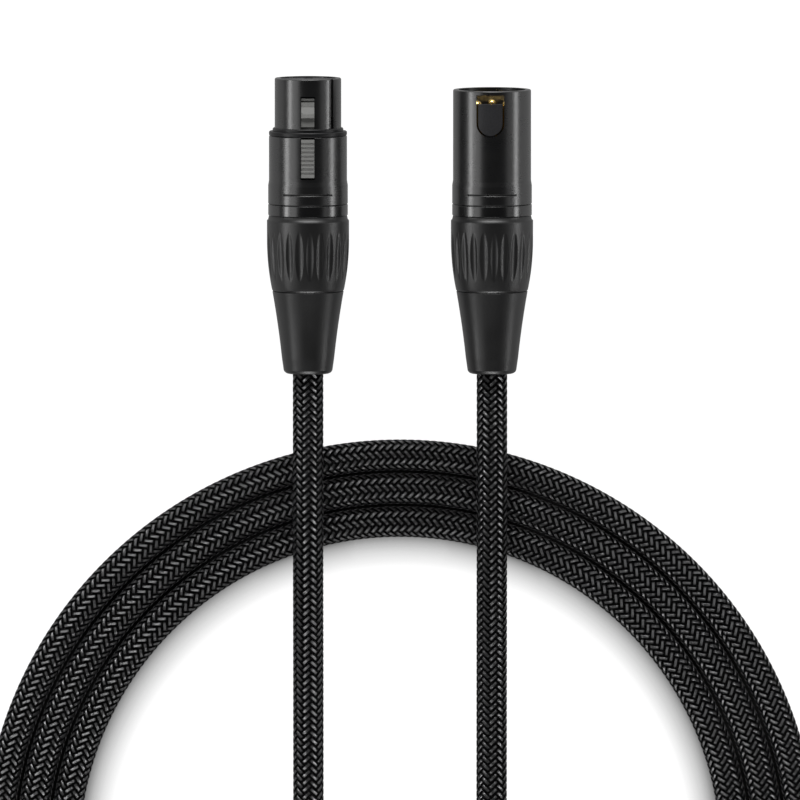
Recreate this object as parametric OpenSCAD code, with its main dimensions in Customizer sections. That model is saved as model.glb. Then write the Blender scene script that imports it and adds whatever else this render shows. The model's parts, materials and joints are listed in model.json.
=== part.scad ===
// Braided microphone cable, wound in a flat coil, with a female and a male three-pole connector.
// Lengths are in millimetres. +Z is up, and +Y is the way that both connectors point.
// The origin lies on the floor, midway between the two connectors.
// A connector is drawn along its own +Z from its boot's cable end, with its upper side at -Y.

/* [Cable] */
// Outside diameter of the braided cable
cable_d = 7.5; // [7:0.1:7.8]
// Turns of the coil, side by side
coil_turns = 3; // [2:1:4]
// Distance between neighbouring turns
turn_pitch = 8.2; // [7.9:0.1:9]
// Radius of the innermost turn, at the cable's middle
coil_r = 82.2; // [78:0.1:90]
// Distance from the origin back to the coil's middle
coil_back = 155; // [150:1:170]
// Thickness of the web between the turns
web_t = 3; // [2:0.1:5]
// Diameter of one insulated wire
wire_d = 1.5; // [1.2:0.1:1.55]

/* [Boots and bushings] */
// Distance between the axes of the two connectors
lead_spacing = 44.8; // [40:0.1:60]
// Length of the boot that shows
boot_len = 20.2; // [15:0.1:30]
// Diameter of the boot at its cable end
boot_end_d = 12; // [11:0.1:13]
// Diameter of the boot and of the bushing where they meet
boot_front_d = 17.4; // [16:0.1:18.5]
// How far the boot's side curves in from a straight cone
boot_hollow = 0.22; // [0.1:0.01:0.6]
// Rounding of the boot's cable end
boot_round = 1.2; // [0.5:0.1:1.8]
// Diameter of the boot's plug inside the bushing
plug_d = 11; // [10:0.1:13]
// Length of that plug
plug_len = 2.9; // [2:0.1:3.5]
// Length of the bushing that shows
bushing_len = 18.4; // [16.5:0.1:24]
// Largest diameter of the bushing
bushing_d = 20; // [19.4:0.1:22]
// Length of the bushing's curved rear
barrel_len = 12.2; // [9:0.1:13]
// Length of the bushing's lip at the colour ring
lip_len = 0.9; // [0.6:0.1:1.2]
// How far that lip lies under the bushing's surface
lip_sunk = 0.3; // [0.1:0.05:0.4]
// Flutes around the bushing
flute_count = 24; // [12:1:26]
// Angle between the two sides of a flute, in degrees
flute_angle = 140; // [100:1:150]
// Distance from the bushing's rear edge to the flutes
flute_start = 2.8; // [1.5:0.1:4]
// Length of the flutes
flute_len = 12; // [9:0.1:13]
// Turn of the first flute from the upper side, in degrees
flute_turn = 3; // [0:0.5:15]
// Length of the colour ring
ring_len = 2.8; // [2:0.1:4]
// Wall of the colour ring
ring_t = 0.5; // [0.4:0.05:0.6]

/* [Shells] */
// Diameter of both shells
shell_d = 19; // [18.8:0.1:20]
// Bore of both shells behind their inserts' front faces
rear_bore_d = 16.8; // [16.6:0.1:17]
// Length of the female shell's body
female_body_len = 16.7; // [16.4:0.1:22]
// Wall between the female shell's body bore and its shoulder
shoulder_t = 1; // [0.8:0.1:1.5]
// Length of the collar at the nose's foot
collar_len = 1.9; // [1.7:0.1:3]
// Diameter of the collar's upper step
collar_step_d = 17.2; // [16.8:0.1:18]
// Height of the collar's upper step
collar_step_h = 0.8; // [0.4:0.1:1]
// Length of the nose
nose_len = 12.1; // [11.8:0.1:15]
// Height of the land that carries the collar over the nose's surface
collar_land = 0.2; // [0.2:0.05:0.3]
// Diameter of the nose
nose_d = 16.2; // [16:0.05:16.4]
// Bore of the nose
nose_bore_d = 13.7; // [13.4:0.1:14]
// Width of the keyway along the nose
key_w = 1.4; // [1.2:0.1:1.8]
// Depth of the keyway
key_depth = 0.55; // [0.45:0.05:0.7]
// Turn of the keyway from the latch, in degrees
key_turn = 45; // [35:1:60]
// Distance from a shell's rear edge to the groove across its upper and under sides
mark_back = 2.6; // [2:0.1:3]
// Width of that groove, twice its depth
mark_w = 0.5; // [0.3:0.05:0.6]
// Arc of that groove, in degrees
mark_arc = 76; // [40:1:90]
// Length of a shell's wider rear
rear_len = 4.6; // [3.5:0.1:4.8]
// Length of the ramp ahead of it
rear_ramp = 1.2; // [0.8:0.1:1.4]
// How far that rear and the colour ring stand over the shell
rear_proud = 0.2; // [0.1:0.05:0.3]
// Length of the male shell
male_shell_len = 27.9; // [27:0.1:32]
// Bore of the male shell's cup
cup_d = 16.3; // [16.1:0.05:16.6]
// Depth of the cup
cup_depth = 12.8; // [11.5:0.1:13.5]
// Width of the window in the male shell
window_w = 6.8; // [6:0.1:7]
// Distance from the male shell's rim to the window
window_drop = 0.9; // [0.7:0.1:1.5]
// Length of the window
window_len = 10.3; // [9.5:0.1:11]
// Length of the window that stays open ahead of the snap plate
window_open = 2.2; // [1.5:0.1:2.5]
// Turn of the window from the upper side, in degrees
window_turn = 3; // [0:0.5:6]
// Gap around the snap plate in the window
plate_gap = 0.45; // [0.3:0.05:0.6]
// How far the snap plate lies under the shell's surface
plate_sunk = 0.15; // [0.1:0.05:0.3]
// Width of the snap plate's stem under the shell
stem_w = 2.4; // [2:0.1:3]
// Length of that stem behind the insert's face
stem_len = 5; // [3:0.1:7]
// Wall of the shell that is left over the stem
stem_cover = 0.5; // [0.4:0.05:0.6]

/* [Contacts] */
// Diameter of a pin
pin_d = 2.4; // [2.2:0.05:2.5]
// Diameter of a pin's root in the insert
root_d = 3; // [2.8:0.05:3.1]
// Distance from the male shell's rim down to the pins' tips
pin_drop = 2.6; // [1.5:0.1:4]
// Circle that the three contacts stand on
contact_circle_d = 8.4; // [8.2:0.1:8.8]
// Distance from the nose's rim down to the female insert's face
face_inset = 0.3; // [0.1:0.05:0.6]
// Distance from that face down to the sockets
socket_inset = 0.5; // [0.3:0.05:0.8]
// Clearance of a pin in a socket
socket_gap = 0.05; // [0.03:0.01:0.1]
// Outside diameter of a socket
socket_d = 3; // [2.8:0.05:3.1]
// Depth of a socket from the insert's face
socket_depth = 11.5; // [10.5:0.1:12.5]
// Outside diameter of a solder cup
cup_tail_d = 2.2; // [2.1:0.05:2.3]
// Bore of a solder cup
cup_tail_bore_d = 1.6; // [1.56:0.01:1.7]
// Depth of a solder cup
cup_tail_depth = 3; // [2:0.1:4]

/* [Latch] */
// Width of the latch
latch_w = 3.2; // [2.8:0.1:3.3]
// Length of the push button
button_len = 9.3; // [8.5:0.1:10]
// Gap at the button's two ends
button_gap = 0.5; // [0.4:0.05:0.7]
// How far the button lies under the shell's surface
button_sunk = 0.1; // [0:0.05:0.3]
// Ribs across the button
rib_count = 9; // [5:1:12]
// Depth of the grooves between the ribs
rib_depth = 0.25; // [0.1:0.05:0.4]
// Thickness of the lever
lever_t = 1; // [0.8:0.1:1.2]
// Height of the lever's underside over the connector's axis
lever_h = 6; // [5.8:0.1:6.2]
// Height of the pivot over the lever's underside
pivot_rise = 0.6; // [0.5:0.05:0.7]
// Distance from the button's rear edge back to the pivot
pivot_back = 1.6; // [1.4:0.1:1.8]
// Diameter of the pivot pin
pivot_d = 1.2; // [1:0.05:1.4]
// Length of the pivot pin
pivot_len = 7; // [6:0.1:8]
// Diameter of the eye around the pivot pin
eye_d = 2.6; // [2.3:0.1:2.8]
// Length of the hook
hook_len = 6; // [5.4:0.1:6.2]
// Length of the hook's low toe
toe_len = 1.2; // [0.8:0.1:1.5]
// Length of the hook's ramp
ramp_len = 1.7; // [1.2:0.1:2]
// Length of the hook's crest
crest_len = 0.9; // [0.6:0.1:1.2]
// How far the toe lies under the nose's surface
toe_sunk = 0.6; // [0.5:0.05:0.8]
// How far the hook's back lies under the nose's surface
back_sunk = 0.4; // [0.3:0.05:0.6]
// Gap between the collar and the hook
hook_gap = 0.6; // [0.3:0.05:0.8]
// Length of the strip ahead of the hook
strip_len = 0.5; // [0.4:0.05:0.8]
// Gap between the hook and that strip
strip_gap = 0.4; // [0.2:0.05:0.5]
// Gap ahead of the strip in the nose's slot
slot_gap = 0.4; // [0.3:0.05:0.8]
// How far the hook stands over the nose
hook_proud = 0.2; // [0.1:0.02:0.22]
// Swing of the latch when it is pressed, in degrees
latch_swing = 4; // [3:0.5:4.5]

/* [Inside] */
// Distance from the shell's rear edge to the insert's rear
insert_inset = 3; // [2.8:0.1:3.2]
// Wall of the insert's rear skirt
skirt_t = 2.15; // [2.1:0.05:2.3]
// Distance from the insert's rear to the solder cups' mouths
cup_inset = 3.5; // [3:0.1:4]
// Thickness of the chuck's front flange
chuck_flange_t = 0.9; // [0.7:0.1:1.1]
// Diameter of the chuck's front flange
chuck_flange_d = 14.4; // [13.8:0.1:15]
// Wall of the chuck around the cable
chuck_wall = 2.35; // [2.2:0.05:2.5]
// Wall of the chuck's fingers at their tips
finger_wall = 0.7; // [0.5:0.05:0.9]
// Distance from the boot's plug to the chuck's tips
throat_len = 1.6; // [1.2:0.1:2]
// Length of the chuck's tapered fingers
chuck_taper = 4.7; // [4:0.1:5]
// Width of the slots between the chuck's fingers
chuck_slot = 1; // [0.6:0.1:1.4]
// Length of those slots
chuck_slot_len = 13.6; // [10:0.1:15]
// Length of the cable's jacket past the bushing's front
jacket_in = 4.7; // [4.5:0.1:4.9]
// Length of the wires inside the jacket
wire_bite = 0.5; // [0.3:0.1:0.8]
// Distance from the button's rear edge to the latch's leaf spring
spring_inset = 1.4; // [1:0.1:2]
// Length of the spring's foot
spring_foot = 3; // [2:0.1:4]
// Thickness of the latch's leaf spring
spring_t = 0.3; // [0.2:0.05:0.4]
// Thickness of the ground clips
clip_t = 0.5; // [0.45:0.05:0.6]
// Arc of the ground clips, in degrees
clip_arc = 50; // [30:1:70]
// Length of the ground clips
clip_len = 4; // [3:0.1:5]

/* [Fits] */
// Radial gap of seated pieces
seat_gap = 0.03; // [0.02:0.01:0.04]
// Radial gap of pieces that turn or slide
run_gap = 0.08; // [0.05:0.01:0.1]
// Gap beside the latch
side_gap = 0.15; // [0.1:0.05:0.2]
// Radial gap of the boot around the cable
boot_gap = 0.25; // [0.2:0.05:0.35]
// Bevel on the edges of the turned pieces
bevel = 0.2; // [0.1:0.05:0.3]

/* [Hidden] */
$fn = 64;

// Stations along a connector, from the boot's cable end
bushing_z = boot_len;
ring_z = bushing_z + bushing_len;
shell_z = ring_z + ring_len;
shoulder_z = shell_z + female_body_len;
nose_z = shoulder_z + collar_len;
female_len = nose_z + nose_len;
male_len = shell_z + male_shell_len;
insert_z = shell_z + insert_inset;
female_seat_z = shoulder_z - shoulder_t;
male_face_z = male_len - cup_depth;
spigot_end_z = insert_z - chuck_flange_t - 2 * seat_gap;
jacket_end_z = ring_z + jacket_in;
cup_tail_z = insert_z + cup_inset;
female_face_z = female_len - face_inset;
window_top_z = male_len - window_drop;
window_bottom_z = window_top_z - window_len;
axis_h = bushing_d / 2;

// Radii that several pieces share
shell_r = shell_d / 2;
rear_r = shell_r + rear_proud;
rear_bore_r = rear_bore_d / 2;
nose_r = nose_d / 2;
nose_bore_r = nose_bore_d / 2;
cup_r = cup_d / 2;
plug_r = plug_d / 2;
neck_r = shell_r - ring_t - seat_gap;
spigot_r = rear_bore_r - run_gap;
cable_r = cable_d / 2;
jacket_bore_r = cable_r + seat_gap;
chuck_r = jacket_bore_r + chuck_wall;
chuck_tail_r = jacket_bore_r + finger_wall;
chuck_z = bushing_z + plug_len + throat_len;
hollow_r = chuck_r + 3 * run_gap;
throat_r = chuck_tail_r + 3 * run_gap;
socket_r = pin_d / 2 + socket_gap;
contact_r = contact_circle_d / 2;
skirt_bore_r = rear_bore_r - skirt_t;
collar_seat_r = nose_r + collar_land;
stem_r = shell_r - stem_cover;

// Latch stations
button_front_z = shoulder_z - button_gap;
button_rear_z = button_front_z - button_len;
pivot_z = button_rear_z - pivot_back;
lever_top = lever_h + lever_t;
pivot_h = lever_h + pivot_rise;
slot_w = latch_w + 2 * side_gap;
hook_z = nose_z + hook_gap;
hook_end_z = hook_z + hook_len;
latch_tip_z = hook_end_z + strip_gap + strip_len;
slot_end_z = latch_tip_z + slot_gap;
tunnel_h = lever_top + side_gap;
channel_h = pivot_h - (latch_tip_z - pivot_z) * sin(latch_swing) - lever_t;

// Contacts: the first two beside the latch, the third under the axis
CONTACT_TURNS = [30, 150, 270];

// Routes of the two leads, as distances from each connector's axis line, with the floor at z = 0
FEMALE_ROUTE = [
    [0, 6, 10], [0, -14, 10], [0, -34, 10], [0, -43, 10], [0, -50, 10.6], [0, -57, 11.4],
    [0, -64, 11.5], [0, -72, 11.4], [0, -80, 10.6], [0, -90, 8.7], [0, -102, 6.3], [0, -114, 4.7],
    [0, -126, 3.9], [0, -145, 3.8], [0, -165, 3.8], [0, -184, 3.8], [3, -200, 3.8], [10.5, -213.5, 3.8],
    [22.5, -223.5, 3.8], [37, -229, 3.8], [53, -229, 3.8], [67.5, -223.5, 3.8],
];
MALE_ROUTE = [
    [0, 6, 10], [0, -14, 10], [0, -34, 10], [0, -43, 10], [0, -50, 10.6], [0, -57, 11.4],
    [0, -64, 11.5], [0, -72, 11.4], [0, -80, 10.6], [0, -90, 8.7], [0, -102, 6.3], [0, -114, 4.7],
    [0, -126, 3.9], [0, -145, 3.8], [0, -162, 3.9], [0, -178, 4.9], [0, -194, 7], [-3, -211.5, 9.9],
    [-11.5, -226.5, 11.5], [-25, -237.5, 11.6], [-41.5, -243.5, 11.5], [-58.5, -244, 10.8],
    [-75.5, -238, 8.8],
];
TUBE_SIDES = 12;

// Places a connector on its axis: side is -1 for the female and 1 for the male
module on_axis(side) {
    translate([side * lead_spacing / 2, -female_len / 2, axis_h]) rotate([-90, 0, 0]) children();
}

// Solid of revolution around a connector's axis, from an outline of [radius, station] points
module turned(outline) {
    rotate_extrude() polygon(outline);
}

// Straight tube around a connector's axis
module tube(r_in, r_out, z0, z1) {
    turned([[r_in, z0], [r_out, z0], [r_out, z1], [r_in, z1]]);
}

// Tube with bevelled outer edges
module bevelled_tube(r_in, r_out, z0, z1) {
    turned([
        [r_in, z0], [r_out - bevel, z0], [r_out, z0 + bevel],
        [r_out, z1 - bevel], [r_out - bevel, z1], [r_in, z1],
    ]);
}

// Block on a connector's upper side, between two heights over the axis
module top_block(w, h0, h1, z0, z1) {
    translate([-w / 2, -h1, z0]) cube([w, h1 - h0, z1 - z0]);
}

// Drawing in [station, height] on the upper side, as thick as w across the connector
module side_plate(w) {
    rotate(180, [1, 0, 1]) linear_extrude(height = w, center = true) children();
}

// Points of an arc, from angle a0 to a1
function arc(centre, r, a0, a1, steps = 6) =
    [for (i = [0:steps]) let (a = a0 + (a1 - a0) * i / steps) centre + r * [cos(a), sin(a)]];

// Places a contact: turn 0 lies to the right and 90 lies on the upper side
module at_contact(turn) {
    translate([contact_r * cos(turn), -contact_r * sin(turn), 0]) children();
}

function unit(v) = v / norm(v);

// Direction of a route at its point i
function heading(route, i) =
    unit(route[min(i + 1, len(route) - 1)] - route[max(i - 1, 0)]);

// One ring of a tube around a route's point i
function route_ring(route, i) =
    let (
        along = heading(route, i),
        across = unit(cross(along, [0, 0, 1])),
        over = cross(across, along)
    )
    [for (k = [0:TUBE_SIDES - 1]) let (a = 360 * k / TUBE_SIDES)
        route[i] + cable_r * (cos(a) * across + sin(a) * over)];

// Closed tube along a route
module lead(route) {
    rings = len(route);
    last = (rings - 1) * TUBE_SIDES;
    sides = [
        for (i = [0:rings - 2]) for (k = [0:TUBE_SIDES - 1])
            let (a = i * TUBE_SIDES, n = (k + 1) % TUBE_SIDES)
            [a + k, a + n, a + n + TUBE_SIDES, a + k + TUBE_SIDES]
    ];
    caps = [
        [for (k = [0:TUBE_SIDES - 1]) TUBE_SIDES - 1 - k],
        [for (k = [0:TUBE_SIDES - 1]) last + k],
    ];
    points = [for (i = [0:rings - 1]) each route_ring(route, i)];
    polyhedron(points = points, faces = concat(sides, caps), convexity = 4);
}

// The coil: its turns side by side, joined by a web at half height
module cable_coil() {
    color("#1c1c1e") translate([0, -coil_back, 0]) rotate_extrude($fn = 160) {
        for (turn = [0:coil_turns - 1])
            translate([coil_r + turn * turn_pitch, cable_r]) circle(d = cable_d);
        translate([coil_r, cable_r - web_t / 2]) square([(coil_turns - 1) * turn_pitch, web_t]);
    }
}

module female_lead() {
    color("#1c1c1e") translate([-lead_spacing / 2, 0, 0]) lead(FEMALE_ROUTE);
}

module male_lead() {
    color("#1c1c1e") translate([lead_spacing / 2, 0, 0]) lead(MALE_ROUTE);
}

// Rubber boot: a hollow flare with a plug that the bushing turns on
module boot(side) {
    end_r = boot_end_d / 2;
    rise = boot_front_d / 2 - end_r;
    chord = norm([rise, boot_len]);
    curve_r = (chord * chord / 4 + boot_hollow * boot_hollow) / (2 * boot_hollow);
    out = [boot_len, -rise] / chord;
    centre = [end_r + rise / 2, boot_len / 2] + out * (curve_r - boot_hollow);
    bore_r = cable_r + boot_gap;
    color("#3a3a3c") on_axis(side) {
        rotate_extrude() difference() {
            polygon(concat(
                [[bore_r, 0]],
                arc([end_r - boot_round, boot_round], boot_round, -90, 0),
                [
                    [boot_front_d / 2, boot_len - bevel], [boot_front_d / 2 - bevel, boot_len],
                    [plug_r, boot_len], [plug_r, boot_len + plug_len], [bore_r, boot_len + plug_len],
                ]
            ));
            translate(centre) circle(r = curve_r, $fn = 720);
        }
    }
}

// Radius of the bushing's grip at a station from its rear edge
function barrel_radius(z) =
    let (
        rise = (bushing_d - boot_front_d) / 2,
        curve_r = (barrel_len * barrel_len + rise * rise) / (2 * rise),
        left = max(barrel_len - z, 0)
    )
    bushing_d / 2 - curve_r + sqrt(curve_r * curve_r - left * left);

// Fluted bushing with a threaded spigot, drawn as a plain cylinder
module bushing(side) {
    steps = 6;
    low_r = barrel_radius(flute_start);
    high_r = barrel_radius(flute_start + flute_len);
    lean = atan2(high_r - low_r, flute_len);
    cut_len = 1.5 * flute_len;
    cut_h = bushing_d / 20;
    cut_w = cut_h * tan(flute_angle / 2);
    half_pitch = 180 / flute_count;
    color("#39393b") on_axis(side) rotate(flute_turn - half_pitch) difference() {
        turned(concat(
            [[plug_r + run_gap, bushing_z], [barrel_radius(bevel) - bevel, bushing_z]],
            [for (i = [0:steps]) let (z = bevel + (barrel_len - bevel) * i / steps)
                [barrel_radius(z), bushing_z + z]],
            [
                [bushing_d / 2, ring_z - lip_len - lip_sunk], [bushing_d / 2 - lip_sunk, ring_z - lip_len],
                [bushing_d / 2 - lip_sunk - bevel, ring_z],
                [spigot_r, ring_z], [spigot_r, spigot_end_z], [hollow_r, spigot_end_z],
                [hollow_r, chuck_z + chuck_taper], [throat_r, chuck_z],
                [throat_r, bushing_z + plug_len + run_gap],
                [plug_r + run_gap, bushing_z + plug_len + run_gap],
            ]
        ));
        for (i = [0:flute_count - 1])
            rotate((2 * i + 1) * half_pitch)
                translate([0, -(low_r + high_r) / 2, bushing_z + flute_start + flute_len / 2])
                    rotate([lean, 0, 0]) linear_extrude(height = cut_len, center = true)
                        polygon([[0, 0], [-cut_w, -cut_h], [cut_w, -cut_h]]);
    }
}

// Glossy ring between bushing and shell, on the shell's neck
module colour_ring(side) {
    color("#111113") on_axis(side) bevelled_tube(neck_r + seat_gap, rear_r, ring_z, shell_z);
}

// Chuck: four fingers that the bushing closes on the jacket
module chuck(side) {
    color("#c9c9c4") on_axis(side) difference() {
        turned([
            [jacket_bore_r, chuck_z], [chuck_tail_r, chuck_z], [chuck_r, chuck_z + chuck_taper],
            [chuck_r, insert_z - chuck_flange_t], [chuck_flange_d / 2, insert_z - chuck_flange_t],
            [chuck_flange_d / 2, insert_z], [jacket_bore_r, insert_z],
        ]);
        for (turn = [45, 135])
            rotate(turn) translate([-chuck_flange_d / 2, -chuck_slot / 2, chuck_z - 1])
                cube([chuck_flange_d, chuck_slot, chuck_slot_len + 1]);
    }
}

// Grooves across the upper and under sides of both shells
module shell_marks() {
    for (turn = [-90, 90])
        rotate(turn - mark_arc / 2) rotate_extrude(angle = mark_arc)
            translate([rear_r, shell_z + mark_back])
                polygon([[-mark_w / 2, 0], [mark_w / 2, -mark_w], [mark_w / 2, mark_w]]);
}

// Outline of a shell's rear: its bore's mouth, its neck for the colour ring, and its wider end
function shell_rear() = [
    [rear_bore_r, ring_z + seat_gap], [neck_r, ring_z + seat_gap], [neck_r, shell_z],
    [rear_r - bevel, shell_z], [rear_r, shell_z + bevel],
    [rear_r, shell_z + rear_len], [shell_r, shell_z + rear_len + rear_ramp],
];

module female_shell() {
    color("#141416") on_axis(-1) difference() {
        turned(concat(shell_rear(), [
            [shell_r, shoulder_z - bevel], [shell_r - bevel, shoulder_z], [collar_seat_r, shoulder_z],
            [collar_seat_r, nose_z], [nose_r, nose_z], [nose_r, female_len - bevel],
            [nose_r - bevel, female_len], [nose_bore_r, female_len],
            [nose_bore_r, female_seat_z], [rear_bore_r, female_seat_z],
        ]));
        shell_marks();
        top_block(slot_w, nose_bore_r / 2, shell_d, button_rear_z - button_gap, shoulder_z);
        top_block(slot_w, nose_bore_r / 2, tunnel_h, female_seat_z - 1, nose_z + 1);
        top_block(slot_w, nose_bore_r / 2, shell_d, nose_z, slot_end_z);
        rotate(key_turn) top_block(key_w, nose_r - key_depth, nose_d, nose_z, female_len + 1);
    }
}

module female_collar() {
    color("#1a1a1c") on_axis(-1) turned([
        [collar_seat_r + seat_gap, shoulder_z], [shell_r - bevel, shoulder_z], [shell_r, shoulder_z + bevel],
        [shell_r, nose_z - collar_step_h - bevel], [shell_r - bevel, nose_z - collar_step_h],
        [collar_step_d / 2, nose_z - collar_step_h], [collar_step_d / 2, nose_z - bevel],
        [collar_step_d / 2 - bevel, nose_z], [collar_seat_r + seat_gap, nose_z],
    ]);
}

// Body that both inserts share: a flange behind the shell's seat, with a skirt around the solder cups
module insert_body(seat_z) {
    difference() {
        tube(0, rear_bore_r - seat_gap, insert_z, seat_z);
        translate([0, 0, insert_z - 1]) cylinder(h = cup_inset + cup_tail_depth / 2 + 1, r = skirt_bore_r);
        clip_space(seat_gap);
    }
}

// Space of a ground clip under the insert, and the clip itself with no margin
module clip_space(margin) {
    r_out = rear_bore_r - seat_gap / 2;
    clip_z = insert_z + cup_inset + cup_tail_depth / 2 + 1;
    arc_span = clip_arc + 4 * margin;
    rotate(90 - arc_span / 2) rotate_extrude(angle = arc_span)
        translate([r_out - clip_t - margin, clip_z - margin])
            square([clip_t + (margin > 0 ? 1 : 0) + margin, clip_len + 2 * margin]);
}

module ground_clip(side) {
    color("#b9b9bd") on_axis(side) clip_space(0);
}

module female_insert() {
    color("#202022") on_axis(-1) difference() {
        union() {
            insert_body(female_seat_z);
            tube(0, nose_bore_r - seat_gap, female_seat_z - 1, female_face_z);
        }
        top_block(slot_w, channel_h, shell_d, insert_z - 1, slot_end_z);
        for (turn = CONTACT_TURNS) at_contact(turn) {
            translate([0, 0, insert_z]) cylinder(h = female_len, r = socket_r);
            translate([0, 0, insert_z])
                cylinder(h = female_face_z - socket_inset - insert_z, r = socket_d / 2 + seat_gap / 2);
        }
        translate([0, -pivot_h, pivot_z]) rotate([0, 90, 0])
            cylinder(h = pivot_len + 2 * seat_gap, d = pivot_d + seat_gap, center = true);
    }
}

// Socket contact: a tube at the front and a solder cup behind
module socket(turn) {
    mouth_z = female_face_z - socket_inset;
    floor_z = female_face_z - socket_depth;
    color("#c9a545") on_axis(-1) at_contact(turn) difference() {
        union() {
            translate([0, 0, cup_tail_z]) cylinder(h = floor_z - cup_tail_z, d = cup_tail_d);
            translate([0, 0, floor_z - 1]) cylinder(h = mouth_z - floor_z + 1, d = socket_d);
        }
        translate([0, 0, floor_z]) cylinder(h = socket_depth, r = socket_r);
        translate([0, 0, cup_tail_z - 1]) cylinder(h = cup_tail_depth + 1, d = cup_tail_bore_d);
    }
}

// Wire from the jacket's end to a solder cup
module wire(side, turn, tint) {
    start = [wire_d * cos(turn), -wire_d * sin(turn), jacket_end_z - wire_bite];
    end = [contact_r * cos(turn), -contact_r * sin(turn), cup_tail_z + wire_bite];
    reach = end - start;
    color(tint) on_axis(side) translate(start)
        rotate([0, acos(reach.z / norm(reach)), atan2(reach.y, reach.x)])
            cylinder(h = norm(reach), d = wire_d, $fn = 24);
}

// Latch: a lever with an eye, a ribbed button and a hook with a round crest, in one piece
module latch() {
    crest_h = nose_r + hook_proud;
    toe_h = nose_r - toe_sunk;
    back_h = nose_r - back_sunk;
    button_h = shell_r - button_sunk;
    rib_pitch = button_len / rib_count;
    ramp_z = hook_end_z - toe_len;
    crest_z = ramp_z - ramp_len;
    color("#c2c2c6") on_axis(-1) difference() {
        side_plate(latch_w) difference() {
            union() {
                polygon([
                    [pivot_z, lever_h], [latch_tip_z, lever_h], [latch_tip_z, toe_h],
                    [latch_tip_z - strip_len, toe_h], [latch_tip_z - strip_len, lever_top],
                    [hook_end_z, lever_top], [hook_end_z, toe_h], [ramp_z, toe_h], [crest_z, crest_h],
                    [crest_z - crest_len, crest_h], [crest_z - crest_len, back_h], [hook_z, back_h],
                    [hook_z, lever_top], [button_front_z, lever_top], [button_front_z, button_h],
                    [button_rear_z, button_h], [button_rear_z, lever_top], [pivot_z, lever_top],
                ]);
                translate([pivot_z, pivot_h]) circle(d = eye_d);
            }
            translate([pivot_z, pivot_h]) circle(d = pivot_d + 2 * run_gap);
            for (i = [1:rib_count - 1])
                translate([button_rear_z + i * rib_pitch - rib_pitch / 4, button_h - rib_depth])
                    square([rib_pitch / 2, 2 * rib_depth]);
        }
        tube(crest_h, shell_d, nose_z, latch_tip_z + slot_gap);
    }
}

module latch_pin() {
    color("#a9a9ad") on_axis(-1) translate([0, -pivot_h, pivot_z]) rotate([0, 90, 0])
        cylinder(h = pivot_len, d = pivot_d, center = true);
}

// Leaf spring from the channel's floor to the lever's underside
module latch_spring() {
    foot_z = button_rear_z + spring_inset;
    bend_z = foot_z + spring_foot;
    tip_z = button_front_z - button_gap;
    low = channel_h + seat_gap;
    high = lever_h - seat_gap;
    color("#8f8f94") on_axis(-1) side_plate(latch_w - 4 * side_gap) polygon([
        [foot_z, low], [bend_z, low], [tip_z, high - spring_t], [tip_z, high],
        [bend_z - spring_t / 2, low + spring_t], [foot_z, low + spring_t],
    ]);
}

// Outline of the male shell's window, as a block through the wall with a round lower end
module window_block(w, z0, z1, h0, h1) {
    top_block(w, h0, h1, z0 + w / 2, z1);
    translate([0, -h0, z0 + w / 2]) rotate([90, 0, 0]) cylinder(h = h1 - h0, d = w);
}

module male_shell() {
    rib_h = cup_r - key_depth + 2 * socket_gap;
    color("#141416") on_axis(1) {
        difference() {
            turned(concat(shell_rear(), [
                [shell_r, male_len - bevel], [shell_r - bevel, male_len],
                [cup_r, male_len], [cup_r, male_face_z], [rear_bore_r, male_face_z],
            ]));
            shell_marks();
            rotate(-window_turn) {
                window_block(window_w, window_bottom_z, window_top_z, cup_r / 2, shell_d);
                top_block(stem_w + 2 * side_gap, cup_r / 2, stem_r + side_gap / 2,
                    male_face_z - stem_len - side_gap, window_bottom_z + window_w / 2);
            }
        }
        rotate(-key_turn)
            top_block(key_w - 2 * side_gap, rib_h, cup_r + ring_t, male_face_z + seat_gap, window_top_z);
    }
}

// Male insert: a disc that holds the pins, with a snap plate in the shell's window
module male_insert() {
    plate_w = window_w - 2 * plate_gap;
    plate_r = shell_r - plate_sunk;
    plate_z = window_bottom_z + plate_gap;
    color("#202022") on_axis(1) {
        difference() {
            insert_body(male_face_z);
            for (turn = CONTACT_TURNS) at_contact(turn)
                translate([0, 0, insert_z]) cylinder(h = male_len, r = root_d / 2 + seat_gap / 2);
        }
        rotate(-window_turn) intersection() {
            union() {
                window_block(plate_w, plate_z, window_top_z - window_open, 0, shell_d);
                top_block(stem_w, 0, stem_r, plate_z, plate_z + plate_w / 2);
            }
            tube(cup_r + seat_gap, plate_r, plate_z, window_top_z);
        }
        rotate(-window_turn) intersection() {
            top_block(stem_w, 0, stem_r, male_face_z - stem_len, plate_z + plate_w / 2);
            union() {
                tube(skirt_bore_r, stem_r, male_face_z - stem_len, male_face_z);
                tube(cup_r + seat_gap, stem_r, male_face_z - seat_gap, plate_z + plate_w / 2);
            }
        }
    }
}

// Male pin: a rounded tip at the front, and a root in the insert with a solder cup behind
module pin(turn) {
    tip_z = male_len - pin_drop;
    round_r = pin_d / 2;
    color("#d0aa48") on_axis(1) at_contact(turn) difference() {
        union() {
            translate([0, 0, cup_tail_z]) cylinder(h = male_face_z - cup_tail_z, d = root_d);
            translate([0, 0, cup_tail_z]) cylinder(h = tip_z - round_r - cup_tail_z, d = pin_d);
            translate([0, 0, tip_z - round_r]) sphere(r = round_r, $fn = 48);
        }
        translate([0, 0, cup_tail_z - 1]) cylinder(h = cup_tail_depth + 1, d = cup_tail_bore_d);
    }
}

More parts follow.
